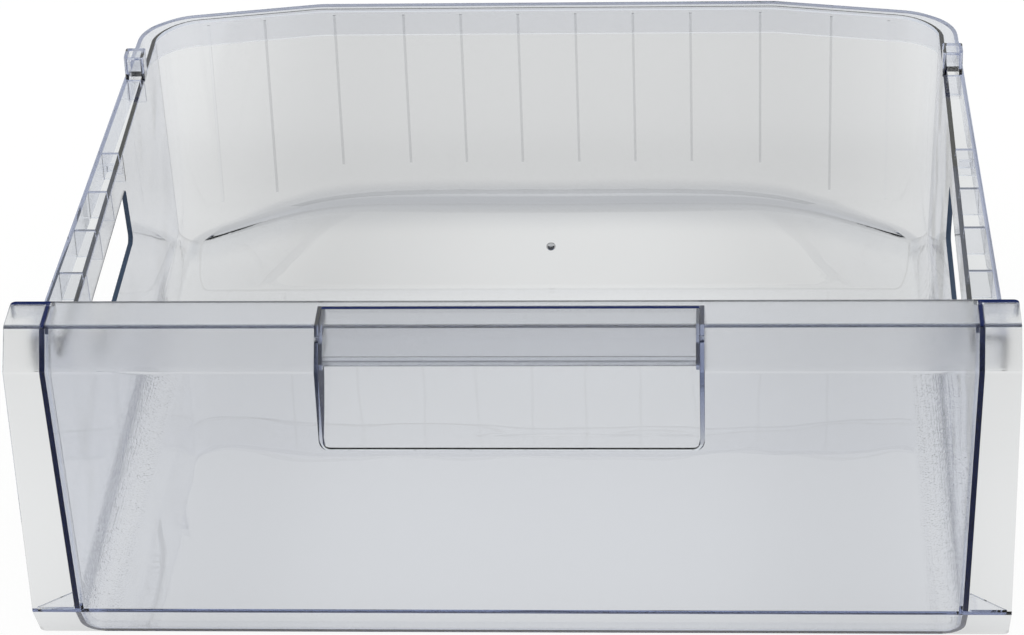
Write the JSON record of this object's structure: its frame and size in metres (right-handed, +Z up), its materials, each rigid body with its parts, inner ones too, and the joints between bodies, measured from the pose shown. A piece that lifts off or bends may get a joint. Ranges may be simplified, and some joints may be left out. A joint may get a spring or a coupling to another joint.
{
  "type": "freezer drawer",
  "caption": "Clear plastic freezer drawer: open tub with rim rails and side windows, wider sloping front panel and a grip bar over a finger pocket.",
  "frame": {"origin": "centre of the bounding box's bottom face, on the plane the drawer stands on", "axes": "+X along the width, to the right as seen from the front; the front panel faces -Y and the drawer slides out along -Y; +Z up"},
  "size_m": [0.455, 0.38, 0.17],
  "materials": {
    "tub_clear": "clear, polished, with fine stipple on the lower side curves",
    "panel_clear": "clear and polished, satin on the top flange and upper slope",
    "grip_clear": "clear, satin outside"
  },
  "bodies": {
    "root": {"tub": "tub_clear", "front_panel": "panel_clear", "grip": "grip_clear"}
  },
  "joints": []
}
